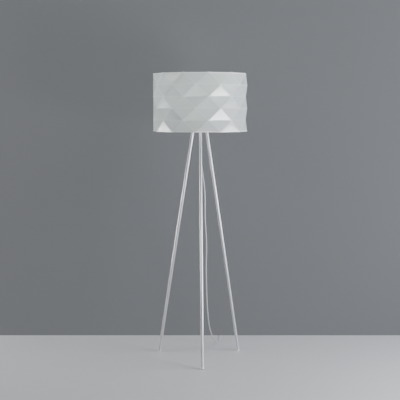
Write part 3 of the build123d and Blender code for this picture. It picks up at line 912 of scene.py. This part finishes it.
def make_threads(tree):
    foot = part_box("holder_ring")[1].z
    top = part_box("holder_skirt")[1].z
    grown_piece(
        tree, "holder_thread", "stand", "holder_plastic",
        Radius=HOLDER_THREAD_R, Ridge=HOLDER_RIDGE, Lead=HOLDER_LEAD,
        Foot=Vector((0, 0, foot + HOLDER_THREAD_FOOT)), Rise=top - foot - HOLDER_THREAD_PLAIN,
    )
    low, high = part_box("bulb_cap")
    grown_piece(
        tree, "bulb_thread", "bulb", "bulb_nickel",
        Radius=high.x - BULB_THREAD_SUNK, Ridge=BULB_RIDGE, Lead=BULB_LEAD,
        Foot=Vector((0, 0, low.z + BULB_THREAD_FOOT)), Rise=high.z - low.z - BULB_THREAD_PLAIN,
    )


def make_button_spring(tree):
    low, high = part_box("switch_spring")
    foot = ((low.x + high.x) / 2, (low.y + high.y) / 2, low.z)
    tall = high.z - low.z
    rise = tall - 2 * SPRING_WIRE
    spring = grown_piece(
        tree, "button_spring", "stand", "zinc",
        Radius=(high.x - low.x) / 2 - SPRING_WIRE, Ridge=SPRING_WIRE, Lead=rise / SPRING_TURNS,
        Foot=Vector(foot) + Vector((0, 0, SPRING_WIRE)), Rise=rise,
    )
    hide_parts("switch_spring")
    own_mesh(spring)
    added_to_switch.append(spring)


def make_relief_rings(tree):
    for name, node, way, added in (
        ("relief_rings_in", "switch_relief_in", -1, added_to_switch),
        ("relief_rings_out", "switch_relief_out", 1, added_to_switch),
        ("relief_rings_plug", "plug_relief", 1, added_to_plug),
    ):
        low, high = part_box(node)
        middle = (low + high) / 2
        tip = high.y if way > 0 else low.y
        rings = grown_piece(
            tree, name, "stand", "cord_pvc",
            Root=Vector((middle.x, tip - way * RELIEF_ROOT, middle.z)),
            Tip=Vector((middle.x, tip - way * RELIEF_TIP, middle.z)),
            Root_radius=0.0047, Tip_radius=0.0036, Rings=7, Ring=0.0006,
        )
        added.append(rings)


def make_button_dots(tree):
    low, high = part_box("switch_button")
    middle = (low + high) / 2
    dots = grown_piece(
        tree, "button_dots", "switch_button", "switch_plastic",
        Middle=Vector((middle.x, middle.y, high.z)), Spacing=0.0031, Dot=0.0008,
    )
    added_to_switch.append(dots)


def make_plug_grip(tree):
    low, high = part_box("plug_body")
    grip = grown_piece(
        tree, "plug_grip", "stand", "plug_plastic",
        First=Vector((low.x, low.y + 0.012, low.z + 0.0034)), Width=high.x - low.x,
        Step=0.0028, Bars=6, Tall=0.0069, Bar=0.0007,
    )
    added_to_plug.append(grip)


def make_tie(tree):
    low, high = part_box("cord_tie")
    strap = grown_piece(
        tree, "hook_and_loop_tie", "stand", "tie_plastic",
        Middle=(low + high) / 2, Deep=high.y - low.y - STRAP, Tall=high.z - low.z - STRAP,
        Wide=high.x - low.x, Thick=STRAP, Corner=0.003,
    )
    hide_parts("cord_tie")
    added_to_plug.append(strap)


helical_ridge = helical_ridge_tree()
make_threads(helical_ridge)
make_button_spring(helical_ridge)
make_relief_rings(taper_rings_tree())
make_button_dots(button_dots_tree())
make_plug_grip(grip_bars_tree())
make_tie(strap_tree())

# ---------------------------------------------------------------- floor, backdrop and light

TOWARDS_CAMERA = Vector((math.cos(CAMERA_AZIMUTH), math.sin(CAMERA_AZIMUTH), 0))
ACROSS = Vector((-TOWARDS_CAMERA.y, TOWARDS_CAMERA.x, 0))    # to the camera's right
UP = Vector((0, 0, 1))

FLOOR_HALF = 30
FLOOR_DARKER, FLOOR_LIGHTER = (0.46, 0.47, 0.485), (0.49, 0.50, 0.515)
FLOOR_GLOW, FLOOR_GLOW_COLOUR = 0.09, (0.92, 0.95, 1.0)
BACKDROP_BEHIND = 0.452       # from the lamp's axis
BACKDROP_LOW, BACKDROP_HIGH, BACKDROP_HALF = 0.007, 2.0, 1.24
BACKDROP_COLOUR = (0.045, 0.046, 0.05, 1)
BACKDROP_GLOW, BACKDROP_GLOW_COLOUR = 0.135, (0.90, 0.94, 1.0)
WORLD_COLOUR, WORLD_STRENGTH = (0.30, 0.31, 0.335, 1), 0.24
WORLD_SEEN = (0.215, 0.225, 0.245, 1)
AIM_HEIGHT = 1.3
SOFT_BOXES = (
    # turn from the camera's side, height, distance, size, watts, colour
    ("right_box", 50, 0.765, 2.3, 0.5, 38, (0.96, 0.97, 1.0)),
    ("far_right_box", 80, 0.59, 2.3, 0.38, 16, (0.88, 0.91, 1.0)),
    ("left_box", -99, 0.67, 2.3, 0.46, 21, (1, 1, 1)),
    ("high_right", 74, 3.1, 2.9, 2.0, 120, (0.93, 0.985, 1.0)),
    ("high_left", -66, 3.0, 3.0, 2.2, 56, (0.99, 1.0, 0.955)),
)
BULB_GLOW, BULB_GLOW_COLOUR = 13, (0.90, 0.985, 1.0)
BULB_GLOW_RADIUS = 0.03
BULB_GLOW_ABOVE = 0.025       # over the bulb's dome


def stage_sheet(name, corners, finish):
    mesh = bpy.data.meshes.new(name)
    mesh.from_pydata(corners, [], [(0, 1, 2, 3)])
    mesh.materials.append(finish)
    sheet = new_object(name, mesh)
    sheet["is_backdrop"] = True
    return sheet


def camera_rays(graph):
    return graph.add("ShaderNodeLightPath").outputs["Is Camera Ray"]


def evenly_lit(graph, shader, colour, strength):
    """The stage's look to the camera: a little even light of its own, which falls on nothing."""
    even = graph.add("ShaderNodeEmission", {"Color": (*colour, 1)})
    graph.link(graph.math("MULTIPLY", camera_rays(graph), strength), even.inputs["Strength"])
    return graph.add("ShaderNodeAddShader", {0: shader.outputs[0], 1: even.outputs[0]}).outputs[0]


def floor_finish():
    material, graph, shader = new_material("studio_floor", 0.5)
    cloud = graph.noise(graph.place(), 3.0, 3.0)
    graph.link(between(graph, cloud, FLOOR_DARKER, FLOOR_LIGHTER), shader.inputs["Base Color"])
    graph.show(evenly_lit(graph, shader, FLOOR_GLOW_COLOUR, FLOOR_GLOW))
    return material


def backdrop_finish():
    """Paper seen from the front only: from behind, the sheet isn't there."""
    material, graph, shader = new_material("studio_paper", 0.9)
    shader.inputs["Base Color"].default_value = BACKDROP_COLOUR
    look = evenly_lit(graph, shader, BACKDROP_GLOW_COLOUR, BACKDROP_GLOW)
    behind = graph.add("ShaderNodeNewGeometry").outputs["Backfacing"]
    clear = graph.add("ShaderNodeBsdfTransparent")
    graph.show(graph.mixed_shader(behind, look, clear.outputs[0]))
    return material


def make_stage():
    round_the_edge = ((-1, -1), (1, -1), (1, 1), (-1, 1))
    corners = [(FLOOR_HALF * x, FLOOR_HALF * y, 0) for x, y in round_the_edge]
    stage_sheet("floor", corners, floor_finish())
    foot = -BACKDROP_BEHIND * TOWARDS_CAMERA
    height = {-1: BACKDROP_LOW, 1: BACKDROP_HIGH}
    corners = [foot + x * BACKDROP_HALF * ACROSS + height[y] * UP for x, y in round_the_edge]
    backdrop = stage_sheet("backdrop", corners, backdrop_finish())
    backdrop.visible_shadow = False


def soft_box(name, turn, height, distance, size, watts, colour):
    """A square light, turned about the lamp from the camera's side; positive is to the right."""
    lamp = bpy.data.lights.new(name, "AREA")
    lamp.shape = "SQUARE"
    lamp.size = size
    lamp.energy = watts
    lamp.color = colour
    light = new_object(name, lamp)
    azimuth = CAMERA_AZIMUTH + math.radians(turn)
    place = Vector((distance * math.cos(azimuth), distance * math.sin(azimuth), height))
    light.location = place
    light.rotation_euler = (AIM_HEIGHT * UP - place).to_track_quat("-Z", "Y").to_euler()


def make_world():
    """Low even light from all round; the camera sees it as a plain grey beyond the floor."""
    world = bpy.data.worlds.new("studio")
    world.use_nodes = True
    graph = Graph(world.node_tree)
    light = world.node_tree.nodes["Background"]
    light.inputs["Color"].default_value = WORLD_COLOUR
    light.inputs["Strength"].default_value = WORLD_STRENGTH
    seen = graph.add("ShaderNodeBackground", {"Color": WORLD_SEEN})
    both = graph.mixed_shader(camera_rays(graph), light.outputs[0], seen.outputs[0])
    graph.show(both, "World Output")
    bpy.context.scene.world = world


def make_bulb_glow():
    """The bulb's light, which falls on the lamp's own pieces only."""
    glow = bpy.data.lights.new("bulb_glow", "POINT")
    glow.energy = BULB_GLOW
    glow.color = BULB_GLOW_COLOUR
    glow.shadow_soft_size = BULB_GLOW_RADIUS
    inside = new_object("bulb_glow", glow)
    inside.location = (0, 0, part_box("bulb_diffuser")[1].z + BULB_GLOW_ABOVE)
    lit = bpy.data.collections.new("lit_by_the_bulb")
    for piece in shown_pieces():
        lit.objects.link(piece)
    inside.light_linking.receiver_collection = lit


make_stage()
make_world()
for box in SOFT_BOXES:
    soft_box(*box)
make_bulb_glow()
